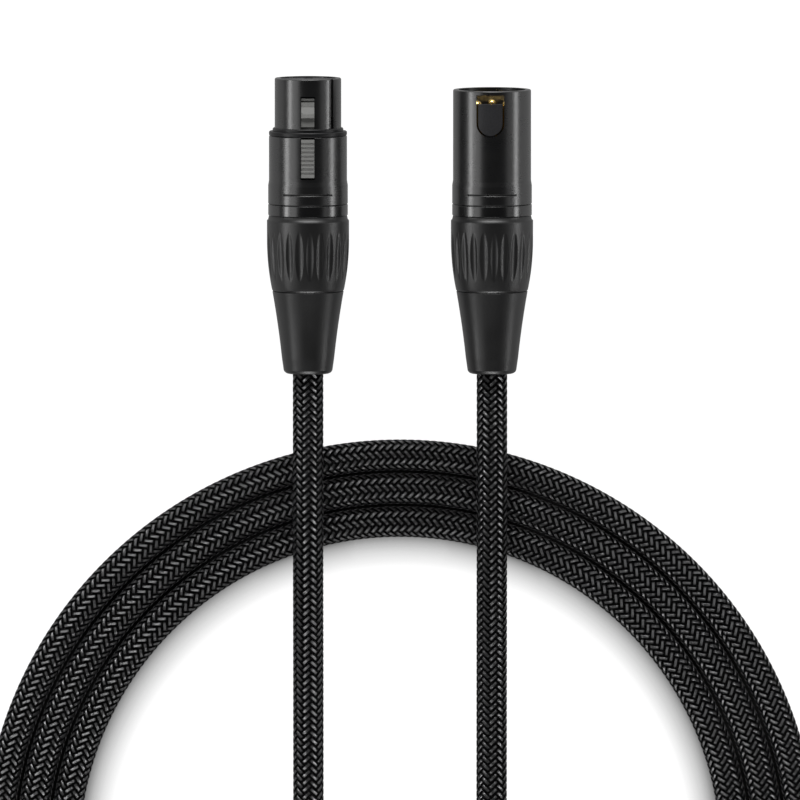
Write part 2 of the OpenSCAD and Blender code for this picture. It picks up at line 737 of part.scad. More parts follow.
module female_boot() boot(-1);
module female_bushing() bushing(-1);
module female_ring() colour_ring(-1);
module female_chuck() chuck(-1);
module female_socket_1() socket(CONTACT_TURNS[0]);
module female_socket_2() socket(CONTACT_TURNS[1]);
module female_socket_3() socket(CONTACT_TURNS[2]);
module female_ground_clip() ground_clip(-1);
module female_wire_1() wire(-1, CONTACT_TURNS[0], "#b87333");
module female_wire_2() wire(-1, CONTACT_TURNS[1], "#b03030");
module female_wire_3() wire(-1, CONTACT_TURNS[2], "#e0e0e0");
module male_boot() boot(1);
module male_bushing() bushing(1);
module male_ring() colour_ring(1);
module male_chuck() chuck(1);
module male_pin_1() pin(CONTACT_TURNS[0]);
module male_pin_2() pin(CONTACT_TURNS[1]);
module male_pin_3() pin(CONTACT_TURNS[2]);
module male_ground_clip() ground_clip(1);
module male_wire_1() wire(1, CONTACT_TURNS[0], "#b87333");
module male_wire_2() wire(1, CONTACT_TURNS[1], "#b03030");
module male_wire_3() wire(1, CONTACT_TURNS[2], "#e0e0e0");

cable_coil();
female_lead();
male_lead();
female_boot();
female_bushing();
female_ring();
female_chuck();
female_shell();
female_collar();
female_insert();
female_socket_1();
female_socket_2();
female_socket_3();
female_ground_clip();
female_wire_1();
female_wire_2();
female_wire_3();
latch();
latch_pin();
latch_spring();
male_boot();
male_bushing();
male_ring();
male_chuck();
male_shell();
male_insert();
male_pin_1();
male_pin_2();
male_pin_3();
male_ground_clip();
male_wire_1();
male_wire_2();
male_wire_3();
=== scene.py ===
"""Dresses a coiled microphone cable: its braid, its two connectors, the studio and the camera."""

from __future__ import annotations

import enum
import json
import logging
import math
from collections.abc import Mapping, Sequence
from dataclasses import dataclass, field

import bpy
import numpy as np
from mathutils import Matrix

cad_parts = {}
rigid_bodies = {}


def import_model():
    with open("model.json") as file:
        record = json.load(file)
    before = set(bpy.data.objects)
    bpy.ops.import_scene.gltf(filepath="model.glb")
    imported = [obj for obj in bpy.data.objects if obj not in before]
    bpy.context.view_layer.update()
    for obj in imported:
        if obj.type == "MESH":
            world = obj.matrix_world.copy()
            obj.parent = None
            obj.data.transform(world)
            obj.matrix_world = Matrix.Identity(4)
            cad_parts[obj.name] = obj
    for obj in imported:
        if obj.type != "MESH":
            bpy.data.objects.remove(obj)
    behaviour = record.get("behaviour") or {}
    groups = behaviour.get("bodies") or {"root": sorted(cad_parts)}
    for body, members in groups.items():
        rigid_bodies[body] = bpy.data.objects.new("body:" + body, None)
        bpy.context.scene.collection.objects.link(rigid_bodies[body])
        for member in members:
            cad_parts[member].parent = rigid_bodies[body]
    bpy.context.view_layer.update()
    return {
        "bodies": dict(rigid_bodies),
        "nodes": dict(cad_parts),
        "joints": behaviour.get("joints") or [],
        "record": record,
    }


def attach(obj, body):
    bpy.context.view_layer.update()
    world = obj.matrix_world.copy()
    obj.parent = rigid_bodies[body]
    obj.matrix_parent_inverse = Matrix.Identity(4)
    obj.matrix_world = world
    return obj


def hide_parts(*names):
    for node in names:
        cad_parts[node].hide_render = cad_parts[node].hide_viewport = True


LOG = logging.getLogger("cable")
MM = 0.001
FULL_TURN = 2 * math.pi
REPEAT_CELLS = 4
NOISE_MIDDLE = 0.5

Colour = tuple[float, float, float]
Point = tuple[float, float, float]
Pair = tuple[float, float]


class Side(enum.Enum):
    """The two connectors, by the sign of their place along X."""

    FEMALE = -1
    MALE = 1

    @property
    def label(self) -> str:
        """The start of this connector's node names."""
        return self.name.lower()


class Lean(enum.Enum):
    """The way that a yarn winds around the cable."""

    RIGHT = 1
    LEFT = -1


class Signal:
    """A shader socket that takes part in Python expressions."""

    def __init__(self, shader: Shader, socket: bpy.types.NodeSocket) -> None:
        """Keeps the socket and the shader that it belongs to."""
        self.shader = shader
        self.socket = socket

    def _math(self, operation: str, first: object, second: object) -> Signal:
        """One Math node on two values."""
        return self.shader.node("ShaderNodeMath", {"operation": operation}, {0: first, 1: second})

    def __add__(self, other: object) -> Signal:
        """Sum."""
        return self._math("ADD", self, other)

    __radd__ = __add__

    def __sub__(self, other: object) -> Signal:
        """Difference."""
        return self._math("SUBTRACT", self, other)

    def __rsub__(self, other: object) -> Signal:
        """Difference from a number."""
        return self._math("SUBTRACT", other, self)

    def __mul__(self, other: object) -> Signal:
        """Product."""
        return self._math("MULTIPLY", self, other)

    __rmul__ = __mul__

    def __truediv__(self, other: object) -> Signal:
        """Quotient."""
        return self._math("DIVIDE", self, other)

    def __pow__(self, other: object) -> Signal:
        """Power."""
        return self._math("POWER", self, other)

    def sine(self) -> Signal:
        """Sine of an angle in radians."""
        return self._math("SINE", self, 0.0)

    def cosine(self) -> Signal:
        """Cosine of an angle in radians."""
        return self._math("COSINE", self, 0.0)

    def larger(self, other: object) -> Signal:
        """The larger of two values."""
        return self._math("MAXIMUM", self, other)

    def clip(self) -> Signal:
        """The value held between 0 and 1."""
        return self._math("MINIMUM", self.larger(0.0), 1.0)

    def smooth(self, low: float, high: float) -> Signal:
        """A smooth step from 0 at low to 1 at high."""
        settings = {"interpolation_type": "SMOOTHSTEP"}
        return self.shader.node("ShaderNodeMapRange", settings, {0: self, 1: low, 2: high})


class Shader:
    """One material, built around a Principled shader."""

    def __init__(self, name: str) -> None:
        """Starts an empty material of that name.

        Args:
            name: the material's name.
        """
        self.material = bpy.data.materials.new(name)
        self.material.use_nodes = True
        self.tree = self.material.node_tree
        self.tree.nodes.clear()
        output = self.tree.nodes.new("ShaderNodeOutputMaterial")
        self.surface = self.tree.nodes.new("ShaderNodeBsdfPrincipled")
        self.tree.links.new(self.surface.outputs[0], output.inputs["Surface"])

    def node(
        self,
        kind: str,
        settings: Mapping[str, object] | None = None,
        inputs: Mapping[int | str, object] | None = None,
        output: int | str = 0,
    ) -> Signal:
        """Adds a node.

        Args:
            kind: the node's type.
            settings: its properties, set first.
            inputs: values or signals for its sockets, by name or number.
            output: the socket that is returned.

        Returns:
            The chosen output as a signal.
        """
        made = self.tree.nodes.new(kind)
        for key, value in (settings or {}).items():
            setattr(made, key, value)
        for key, value in (inputs or {}).items():
            self.feed(made.inputs[key], value)
        return Signal(self, made.outputs[output])

    def feed(self, socket: bpy.types.NodeSocket, value: object) -> None:
        """Links a signal to a socket, or sets its number or colour.

        Args:
            socket: the socket to feed.
            value: a signal, a number, a vector or a colour.
        """
        if isinstance(value, Signal):
            self.tree.links.new(value.socket, socket)
        elif socket.type == "RGBA":
            socket.default_value = (*value, 1.0)
        else:
            socket.default_value = value

    def set(self, **sockets: object) -> None:
        """Feeds the Principled shader's sockets, with spaces written as underscores."""
        for name, value in sockets.items():
            self.feed(self.surface.inputs[name.replace("_", " ")], value)

    def place(self) -> Signal:
        """The piece's own coordinates, in metres."""
        return self.node("ShaderNodeTexCoord", output="Object")

    def noise(self, scale: float, detail: float = 3.0, at: Signal | None = None) -> Signal:
        """Fractal noise from 0 to 1.

        Args:
            scale: waves in each metre, or in each unit of at.
            detail: octaves.
            at: coordinates, or the piece's own if none are given.

        Returns:
            The noise's height.
        """
        inputs = {"Vector": at or self.place(), "Scale": scale, "Detail": detail}
        return self.node("ShaderNodeTexNoise", {}, inputs)

    def tint(self, factor: Signal, low: Colour | Signal, high: Colour | Signal) -> Signal:
        """A colour between two colours.

        Args:
            factor: 0 gives low and 1 gives high.
            low: the first colour.
            high: the second colour.

        Returns:
            The mixed colour.
        """
        inputs = {"Factor": factor, 6: low, 7: high}
        return self.node("ShaderNodeMix", {"data_type": "RGBA"}, inputs, output=2)

    def relief(self, height: Signal, depth: float, strength: float = 1.0) -> None:
        """Raises the surface by a height map.

        Args:
            height: the map, from 0 to 1.
            depth: the relief's depth in metres.
            strength: its weight.
        """
        inputs = {"Height": height, "Distance": depth, "Strength": strength}
        self.set(Normal=self.node("ShaderNodeBump", {}, inputs))


@dataclass(frozen=True)
class YarnFinish:
    """Black multifilament yarn, with a painted shade and glint mask over each float.

    Where the yarn dives under the others, and along its sides, its colour is painted black and dull as
    painted shade. At each float's crest it is a dark metal whose reflection of the lamps is real. The glint
    is metallic because the filaments' relief turns that reflection.
    """

    # low is painted shade: the black of the dives and the yarn's sides; sheen is the dark metal's
    # reflectance at the crests
    low: Colour = (0.001, 0.001, 0.0011)
    sheen: Colour = (0.125, 0.125, 0.127)
    roughness: float = 0.28
    specular: float = 0.04
    crest_edge: Pair = (0.15, 0.75)
    middle_edge: Pair = (0.84, 0.96)
    rounding: float = 0.00012
    filaments: int = 56
    filament_rise: float = 0.115

    def make(self, name: str) -> bpy.types.Material:
        """The yarn's material, which follows the strand's own map."""
        shader = Shader(name)
        strand = shader.node("ShaderNodeUVMap", {"uv_map": "strand"})
        across, along = (
            shader.node("ShaderNodeSeparateXYZ", {}, {0: strand}, output=axis) for axis in ("X", "Y")
        )
        crest = (along * (FULL_TURN / REPEAT_CELLS)).cosine().smooth(*self.crest_edge)
        bulge = (across * FULL_TURN).sine()
        ridges = (across * (FULL_TURN * self.filaments)).sine()
        # painted shade and glint mask: 0 gives black, dull yarn where it dives under and at its sides; 1
        # gives the reflecting dark metal at the float's crest
        glint_and_painted_shade = crest * bulge.smooth(*self.middle_edge)
        shader.set(
            Base_Color=shader.tint(glint_and_painted_shade, self.low, self.sheen),
            Metallic=glint_and_painted_shade,
            Roughness=self.roughness,
            Specular_IOR_Level=self.specular,
        )
        shader.relief(bulge.larger(0.0) + self.filament_rise * ridges, self.rounding)
        return shader.material


@dataclass(frozen=True)
class MouldedFinish:
    """Moulded plastic or rubber with a fine grain."""

    low: Colour
    high: Colour
    roughness: float
    specular: float = 0.35
    grain: float = 2600.0
    grain_edge: Pair = (0.25, 0.75)
    grain_share: float = 0.6
    clouds: float = 90.0
    cloud_share: float = 0.4
    unevenness: float = 0.12
    depth: float = 0.00002
    depth_weight: float = 0.5

    def make(self, name: str) -> bpy.types.Material:
        """The grained material."""
        shader = Shader(name)
        grain = shader.noise(self.grain, detail=4.0)
        clouds = shader.noise(self.clouds, detail=2.0)
        mottle = grain.smooth(*self.grain_edge) * self.grain_share + clouds * self.cloud_share
        shader.set(
            Base_Color=shader.tint(mottle, self.low, self.high),
            Roughness=self.roughness + self.unevenness * (clouds - NOISE_MIDDLE),
            Specular_IOR_Level=self.specular,
        )
        shader.relief(grain, self.depth, self.depth_weight)
        return shader.material


@dataclass(frozen=True)
class PlatedFinish:
    """Satin dark plating with fine lines from turning."""

    low: Colour = (0.001, 0.001, 0.0012)
    high: Colour = (0.0022, 0.0022, 0.0025)
    roughness: float = 0.28
    specular: float = 1.0
    ior: float = 1.6
    haze: float = 260.0
    haze_share: float = 0.06
    lines: float = 5200.0
    line_stretch: Point = (0.02, 1.0, 0.02)
    line_share: float = 0.02
    line_depth: float = 0.0000012
    line_weight: float = 0.4

    def make(self, name: str) -> bpy.types.Material:
        """The plated material."""
        shader = Shader(name)
        haze = shader.noise(self.haze, detail=4.0)
        stretch = {0: shader.place(), 1: self.line_stretch}
        station = shader.node("ShaderNodeVectorMath", {"operation": "MULTIPLY"}, stretch)
        turned = shader.noise(self.lines, detail=2.0, at=station)
        hazed = self.haze_share * (haze - NOISE_MIDDLE)
        lined = self.line_share * (turned - NOISE_MIDDLE)
        shader.set(
            Base_Color=shader.tint(haze, self.low, self.high),
            Roughness=self.roughness + hazed + lined,
            Specular_IOR_Level=self.specular,
            IOR=self.ior,
        )
        shader.relief(turned, self.line_depth, self.line_weight)
        return shader.material


@dataclass(frozen=True)
class MetalFinish:
    """Bare or plated metal with a blasted or turned surface."""

    low: Colour
    high: Colour
    roughness: float
    metallic: float = 1.0
    grain: float = 3000.0
    unevenness: float = 0.14
    depth: float = 0.000012
    depth_weight: float = 0.4

    def make(self, name: str) -> bpy.types.Material:
        """The metal material."""
        shader, _ = self._base(name)
        return shader.material

    def _base(self, name: str) -> tuple[Shader, Signal]:
        """The metal's shader with its grain, and its colour."""
        shader = Shader(name)
        grain = shader.noise(self.grain)
        colour = shader.tint(grain, self.low, self.high)
        shader.set(
            Base_Color=colour,
            Metallic=self.metallic,
            Roughness=self.roughness + self.unevenness * (grain - NOISE_MIDDLE),
        )
        shader.relief(grain, self.depth, self.depth_weight)
        return shader, colour


@dataclass(frozen=True)
class RibbedFinish(MetalFinish):
    """Blasted metal whose grooves between the ribs of a button are painted lighter, as painted light that
    offsets the shade in them.
    """

    ribs_from: float = 0.01225
    ribs_length: float = 0.0093
    ribs: int = 9
    # groove: painted light, a lighter colour laid in the grooves where shade falls
    groove: Colour = (0.42, 0.42, 0.41)
    groove_edge: Pair = (0.1, 0.7)
    end_edge: Pair = (0.4, 0.6)

    def make(self, name: str) -> bpy.types.Material:
        """The metal with its ribs, and painted light in their grooves."""
        shader, metal = self._base(name)
        station = shader.node("ShaderNodeSeparateXYZ", {}, {0: shader.place()}, output="Y")
        run = (station - self.ribs_from) / (self.ribs_length / self.ribs)
        painted_groove_light = (run * FULL_TURN).cosine().smooth(*self.groove_edge)
        start, end = self.end_edge
        button = run.smooth(start, end) * (1.0 - run.smooth(self.ribs - end, self.ribs - start))
        # painted light: the grooves are tinted lighter to offset their shade
        shader.set(Base_Color=shader.tint(painted_groove_light * button, metal, self.groove))
        return shader.material


@dataclass(frozen=True)
class Finishes:
    """The finish of each material slot."""

    braid: YarnFinish = YarnFinish()
    boot_rubber: MouldedFinish = MouldedFinish(
        (0.0018, 0.0018, 0.002), (0.0036, 0.0036, 0.0038), 0.39, specular=0.78
    )
    bushing_plastic: MouldedFinish = MouldedFinish(
        (0.0018, 0.0018, 0.002), (0.0036, 0.0036, 0.0038), 0.39, specular=0.82
    )
    ring_gloss: PlatedFinish = PlatedFinish(roughness=0.23)
    shell_metal: PlatedFinish = PlatedFinish()
    collar_plastic: MouldedFinish = MouldedFinish((0.004, 0.004, 0.0045), (0.008, 0.008, 0.0085), 0.38)
    insert_plastic: MouldedFinish = MouldedFinish((0.012, 0.012, 0.013), (0.022, 0.022, 0.024), 0.42)
    contact_gold: MetalFinish = MetalFinish((0.70, 0.46, 0.13), (0.86, 0.62, 0.23), 0.24)
    latch_metal: RibbedFinish = RibbedFinish((0.15, 0.15, 0.145), (0.19, 0.19, 0.183), 0.7, metallic=0.1)
    spring_steel: MetalFinish = MetalFinish((0.46, 0.46, 0.48), (0.60, 0.60, 0.62), 0.28)
    chuck_plastic: MouldedFinish = MouldedFinish((0.50, 0.50, 0.47), (0.60, 0.60, 0.57), 0.5)
    wire_copper: MetalFinish = MetalFinish((0.62, 0.30, 0.16), (0.78, 0.42, 0.24), 0.35)
    wire_red: MouldedFinish = MouldedFinish((0.36, 0.02, 0.02), (0.46, 0.03, 0.03), 0.45)
    wire_white: MouldedFinish = MouldedFinish((0.66, 0.66, 0.64), (0.76, 0.76, 0.74), 0.45)


class Wardrobe:
    """Makes each slot's material once, and dresses nodes and pieces in it."""

    def __init__(self, finishes: Finishes) -> None:
        """Keeps the finishes, and no material yet."""
        self.finishes = finishes
        self.made: dict[str, bpy.types.Material] = {}

    def material(self, slot: str) -> bpy.types.Material:
        """The material of a slot."""
        if slot not in self.made:
            self.made[slot] = getattr(self.finishes, slot).make(slot)
        return self.made[slot]

    def dress(self, piece: bpy.types.Object, slot: str) -> None:
        """Gives a piece its slot's material.

        Args:
            piece: a mesh object.
            slot: the record's material slot.
        """
        piece.data.materials.clear()
        piece.data.materials.append(self.material(slot))


class MeshMaker:
    """Turns arrays of points and quads into a mesh object."""

    @staticmethod
    def build(name: str, points: np.ndarray, quads: np.ndarray) -> bpy.types.Object:
        """Makes a smooth-shaded mesh object.

        Args:
            name: the object's name.
            points: one row per vertex, in metres.
            quads: four vertex numbers per face.

        Returns:
            The linked object.
        """
        mesh = bpy.data.meshes.new(name)
        mesh.vertices.add(len(points))
        mesh.vertices.foreach_set("co", points.astype(np.float32).ravel())
        mesh.loops.add(quads.size)
        mesh.loops.foreach_set("vertex_index", quads.astype(np.int32).ravel())
        mesh.polygons.add(len(quads))
        mesh.polygons.foreach_set("loop_start", np.arange(0, quads.size, 4, dtype=np.int32))
        mesh.update(calc_edges=True)
        mesh.shade_smooth()
        made = bpy.data.objects.new(name, mesh)
        bpy.context.scene.collection.objects.link(made)
        return made

    @staticmethod
    def tube_quads(rings: int, sides: int) -> np.ndarray:
        """The side faces of a tube.

        Args:
            rings: rings along the tube.
            sides: points in each ring.

        Returns:
            Four vertex numbers per face, ring by ring.
        """
        ring, side = np.meshgrid(np.arange(rings - 1), np.arange(sides), indexing="ij")
        after = (side + 1) % sides
        corners = [ring * sides + side, ring * sides + after]
        corners += [(ring + 1) * sides + after, (ring + 1) * sides + side]
        return np.stack(corners, axis=-1).reshape(-1, 4)

    @staticmethod
    def cap_quads(sides: int, first: int, flip: bool) -> np.ndarray:
        """The faces that close a tube's end.

        Args:
            sides: an even number of points in the ring.
            first: the ring's first vertex.
            flip: True for the far end.

        Returns:
            Quads across the ring.
        """
        half = sides // 2
        rows = [[i, i + 1, sides - 2 - i, sides - 1 - i] for i in range(half - 1)]
        quads = np.array(rows) + first
        return quads if flip else quads[:, ::-1]

    @staticmethod
    def add_map(piece: bpy.types.Object, name: str, corners: np.ndarray) -> None:
        """Adds a UV map.

        Args:
            piece: the mesh object.
            name: the map's name.
            corners: two numbers per face corner.
        """
        layer = piece.data.uv_layers.new(name=name)
        layer.uv.foreach_set("vector", corners.astype(np.float32).ravel())


@dataclass
class BraidedCable:
    """The cable: a lead from each boot, and turns side by side on the floor."""

    diameter: float = 0.0075
    coil_middle: Pair = (0.0, -0.155)
    coil_radius: float = 0.0822
    turn_pitch: float = 0.0082
    rest_height: float = 0.00375
    spiral_from: float = -49.0
    spiral_to: float = 950.0
    spiral_step: float = 6.0
    step_outs: tuple[Pair, ...] = ((230.0, 320.0), (590.0, 680.0))
    lift_from: float = 934.4
    lift_to: float = 973.0
    lift: float = 0.00765
    line_offset: float = 0.0224
    smoothing: int = 4
    female_route: tuple[Point, ...] = (
        (0.0, 0.006, 0.010), (0.0, -0.014, 0.010), (0.0, -0.034, 0.010), (0.0, -0.043, 0.010),
        (0.0, -0.050, 0.0106), (0.0, -0.057, 0.0114), (0.0, -0.064, 0.0115), (0.0, -0.072, 0.0114),
        (0.0, -0.080, 0.0106), (0.0, -0.090, 0.0087), (0.0, -0.102, 0.0063), (0.0, -0.114, 0.0047),
        (0.0, -0.126, 0.0039), (0.0, -0.145, 0.0038), (0.0, -0.165, 0.0038), (0.0, -0.184, 0.0038),
        (0.003, -0.200, 0.0038), (0.0105, -0.2135, 0.0038), (0.0225, -0.2235, 0.0038),
        (0.037, -0.229, 0.0038), (0.053, -0.229, 0.0038), (0.0675, -0.2235, 0.0038),
    )
    male_route: tuple[Point, ...] = (
        (0.0, 0.006, 0.010), (0.0, -0.014, 0.010), (0.0, -0.034, 0.010), (0.0, -0.043, 0.010),
        (0.0, -0.050, 0.0106), (0.0, -0.057, 0.0114), (0.0, -0.064, 0.0115), (0.0, -0.072, 0.0114),
        (0.0, -0.080, 0.0106), (0.0, -0.090, 0.0087), (0.0, -0.102, 0.0063), (0.0, -0.114, 0.0047),
        (0.0, -0.126, 0.0039), (0.0, -0.145, 0.0038), (0.0, -0.162, 0.0039), (0.0, -0.178, 0.0049),
        (0.0, -0.194, 0.0070), (-0.003, -0.2115, 0.0099), (-0.0115, -0.2265, 0.0115),
        (-0.025, -0.2375, 0.0116), (-0.0415, -0.2435, 0.0115), (-0.0585, -0.244, 0.0108),
        (-0.0755, -0.238, 0.0088),
    )
    carriers: int = 12
    cell: float = 0.00089
    steps_per_cell: int = 2
    yarn_width: float = 0.00136
    yarn_height: float = 0.00034
    yarn_shoulder: Pair = (0.52, 0.86)
    yarn_side: float = -0.3
    yarn_foot: float = 0.5
    float_hold: float = 1.5
    float_crown: float = 0.12
    core_radius: float = 0.00308
    core_sides: int = 16
    core_step: int = 2
    path_step: int = 4
    yarns_per_piece: int = 3
    map_cells: int = 16
    map_margin: float = 0.04
    crest_at: Mapping[Lean, float] = field(default_factory=lambda: {Lean.RIGHT: 0.5, Lean.LEFT: 2.5})
    boot_end: float = -0.03605

    def centreline(self) -> np.ndarray:
        """The cable's middle line from the female to the male connector, evenly spaced.

        Returns:
            One point per braid step, in metres.
        """
        female = np.array(self.female_route) + [-self.line_offset, 0.0, 0.0]
        male = np.array(self.male_route) + [self.line_offset, 0.0, 0.0]
        rough = np.concatenate([female, self._spiral(), male[::-1]])
        dense = self._even(self._curve_through(rough), MM)
        reach = 3 * self.smoothing
        weights = np.exp(-0.5 * (np.arange(-reach, reach + 1) / self.smoothing) ** 2)
        before = 2 * dense[0] - dense[reach:0:-1]
        after = 2 * dense[-1] - dense[-2:-reach - 2:-1]
        padded = np.concatenate([before, dense, after])
        smooth = [np.convolve(padded[:, axis], weights / weights.sum(), "valid") for axis in range(3)]
        return self._even(np.stack(smooth, axis=1), self.cell / self.steps_per_cell)

    def _spiral(self) -> np.ndarray:
        """The turns of the coil, each a pitch outside the one before."""
        turn = np.arange(self.spiral_from, self.spiral_to, self.spiral_step)
        steps = sum(self._ease(turn, low, high) for low, high in self.step_outs)
        wide = self.coil_radius + self.turn_pitch * steps
        height = self.rest_height + self.lift * self._ease(turn, self.lift_from, self.lift_to)
        angle = np.radians(turn)
        x, y = self.coil_middle
        return np.stack([x + wide * np.cos(angle), y + wide * np.sin(angle), height], axis=1)

    @staticmethod
    def _ease(value: np.ndarray, low: float, high: float) -> np.ndarray:
        """A smooth step from 0 at low to 1 at high."""
        t = np.clip((value - low) / (high - low), 0.0, 1.0)
        return t * t * (3 - 2 * t)

    @staticmethod
    def _curve_through(points: np.ndarray, steps: int = 16) -> np.ndarray:
        """A smooth curve through points.

        Args:
            points: the points, in order.
            steps: samples between neighbours.

        Returns:
            The samples.
        """
        ends = np.concatenate([[2 * points[0] - points[1]], points, [2 * points[-1] - points[-2]]])
        gaps = np.sqrt(np.linalg.norm(np.diff(ends, axis=0), axis=1))
        knots = np.concatenate([[0.0], np.cumsum(gaps)])
        made = []
        for i in range(1, len(ends) - 2):
            t = np.linspace(knots[i], knots[i + 1], steps, endpoint=False)[:, None]
            t0, t1, t2, t3 = knots[i - 1:i + 3]
            a1 = (t1 - t) / (t1 - t0) * ends[i - 1] + (t - t0) / (t1 - t0) * ends[i]
            a2 = (t2 - t) / (t2 - t1) * ends[i] + (t - t1) / (t2 - t1) * ends[i + 1]
            a3 = (t3 - t) / (t3 - t2) * ends[i + 1] + (t - t2) / (t3 - t2) * ends[i + 2]
            b1 = (t2 - t) / (t2 - t0) * a1 + (t - t0) / (t2 - t0) * a2
            b2 = (t3 - t) / (t3 - t1) * a2 + (t - t1) / (t3 - t1) * a3
            made.append((t2 - t) / (t2 - t1) * b1 + (t - t1) / (t2 - t1) * b2)
        return np.concatenate(made + [points[-1:]])

    @staticmethod
    def _even(points: np.ndarray, step: float) -> np.ndarray:
        """The same line with points about a step apart."""
        run = np.concatenate([[0.0], np.cumsum(np.linalg.norm(np.diff(points, axis=0), axis=1))])
        at = np.linspace(0.0, run[-1], int(round(run[-1] / step)) + 1)
        return np.stack([np.interp(at, run, points[:, axis]) for axis in range(3)], axis=1)

    @staticmethod
    def _frames(line: np.ndarray) -> tuple[np.ndarray, np.ndarray]:
        """Two directions across the line that turn as little as they can.

        Args:
            line: the centreline.

        Returns:
            The two directions at each point.
        """
        along = np.gradient(line, axis=0)
        along /= np.linalg.norm(along, axis=1)[:, None]
        over = np.empty_like(line)
        current = np.array([0.0, 0.0, 1.0])
        for i, way in enumerate(along):
            current = current - way * (current @ way)
            current /= np.linalg.norm(current)
            over[i] = current
        return over, np.cross(along, over)

    def build(self, wardrobe: Wardrobe) -> None:
        """Args:
            wardrobe: gives the yarn's material.
        """
        line = self.centreline()
        over, across = self._frames(line)
        core = self._core(line, over, across)
        wardrobe.dress(core, "braid")
        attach(core, "cable")
        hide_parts("cable_coil", "female_lead", "male_lead")
        yarns = [(lean, k) for lean in Lean for k in range(self.carriers)]
        for first in range(0, len(yarns), self.yarns_per_piece):
            name = f"braid_yarns_{first // self.yarns_per_piece + 1}"
            piece = self._yarn_piece(name, yarns[first:first + self.yarns_per_piece], line, over, across)
            wardrobe.dress(piece, "braid")
            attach(piece, "cable")

    def _core(self, line: np.ndarray, over: np.ndarray, across: np.ndarray) -> bpy.types.Object:
        """The jacket under the braid."""
        keep = np.append(np.arange(0, len(line) - 1, self.core_step), len(line) - 1)
        turn = np.linspace(0.0, FULL_TURN, self.core_sides, endpoint=False)[None, :, None]
        ring = np.cos(turn) * over[keep][:, None] + np.sin(turn) * across[keep][:, None]
        points = (line[keep][:, None] + self.core_radius * ring).reshape(-1, 3)
        last = (len(keep) - 1) * self.core_sides
        quads = np.concatenate([
            MeshMaker.tube_quads(len(keep), self.core_sides),
            MeshMaker.cap_quads(self.core_sides, 0, False),
            MeshMaker.cap_quads(self.core_sides, last, True),
        ])
        return MeshMaker.build("cable_core", points, quads)

    def _section(self) -> np.ndarray:
        """A yarn's outline as sideways and outward distances, flat above and below."""
        half, high = self.yarn_width / 2, self.yarn_height / 2
        shoulder, top = self.yarn_shoulder[0] * half, self.yarn_shoulder[1] * high
        side, foot = self.yarn_side * high, self.yarn_foot * half
        return np.array([
            (-half, side), (-shoulder, top), (shoulder, top), (half, side), (foot, -high), (-foot, -high)
        ])

    def _yarn_piece(
        self,
        name: str,
        yarns: Sequence[tuple[Lean, int]],
        line: np.ndarray,
        over: np.ndarray,
        across: np.ndarray,
    ) -> bpy.types.Object:
        """Some of the braid's yarns as one piece.

        Args:
            name: the piece's name.
            yarns: each yarn's lean and number.
            line: the cable's middle line.
            over: the first direction across it.
            across: the second direction across it.

        Returns:
            The mesh object, with its strand map and its bake map.
        """
        section = self._section()
        sides = len(section)
        period = self.map_cells * self.steps_per_cell
        map_share = 1.0 - 2 * self.map_margin
        points, quads, strand, bake = [], [], [], []
        for row, (lean, number) in enumerate(yarns):
            body = self._yarn_points(lean, number, section, line, over, across)
            rings = len(body) // sides
            faces = MeshMaker.tube_quads(rings, sides)
            ring, side = np.divmod(np.arange(len(faces)), sides)
            u = np.stack([side, side + 1, side + 1, side], axis=1) / sides
            v = np.stack([ring, ring, ring + 1, ring + 1], axis=1)
            wrapped = v - (ring - ring % period)[:, None]
            phase = lean.value * wrapped / self.steps_per_cell + 2 * number - self.crest_at[lean]
            start = MeshMaker.cap_quads(sides, 0, False)
            end = MeshMaker.cap_quads(sides, (rings - 1) * sides, True)
            caps = np.concatenate([start, end])
            flat = np.zeros((len(caps), 4, 2))
            strand += [np.stack([u, phase], axis=-1), flat]
            height = (row + self.map_margin + map_share * u) / len(yarns)
            bake += [np.stack([wrapped / period, height], axis=-1), flat + 0.5]
            offset = sum(len(p) for p in points)
            quads += [faces + offset, caps + offset]
            points.append(body)
        piece = MeshMaker.build(name, np.concatenate(points), np.concatenate(quads))
        MeshMaker.add_map(piece, "strand", np.concatenate(strand))
        MeshMaker.add_map(piece, "OFBake", np.concatenate(bake))
        return piece

    def _yarn_points(
        self,
        lean: Lean,
        number: int,
        section: np.ndarray,
        line: np.ndarray,
        over: np.ndarray,
        across: np.ndarray,
    ) -> np.ndarray:
        """One yarn's vertices: it passes over two yarns and under two.

        Args:
            lean: the way that it winds.
            number: its place among the yarns of that lean.
            section: the yarn's outline as sideways and outward distances.
            line: the cable's middle line.
            over: the first direction across it.
            across: the second direction across it.

        Returns:
            The vertices, ring by ring.
        """
        cells = np.arange(len(line)) / self.steps_per_cell
        wound = lean.value * FULL_TURN * cells / (2 * self.carriers)
        turn = wound + FULL_TURN * number / self.carriers
        wave = np.cos(FULL_TURN * (2 * number + lean.value * cells - self.crest_at[lean]) / REPEAT_CELLS)
        lift = np.clip(self.float_hold * wave, -1.0, 1.0) + self.float_crown * wave
        half = self.yarn_height / 2
        radius = self.diameter / 2 - half - half * (1.0 + self.float_crown - lift)
        out = np.cos(turn)[:, None] * over + np.sin(turn)[:, None] * across
        middle = line + radius[:, None] * out
        along = np.gradient(middle, axis=0)
        sideways = np.cross(along, out)
        sideways /= np.linalg.norm(sideways, axis=1)[:, None]
        outward = np.cross(sideways, along)
        outward /= np.linalg.norm(outward, axis=1)[:, None]
        aside = section[None, :, :1] * sideways[:, None]
        raised = section[None, :, 1:] * outward[:, None]
        return (middle[:, None] + aside + raised).reshape(-1, 3)


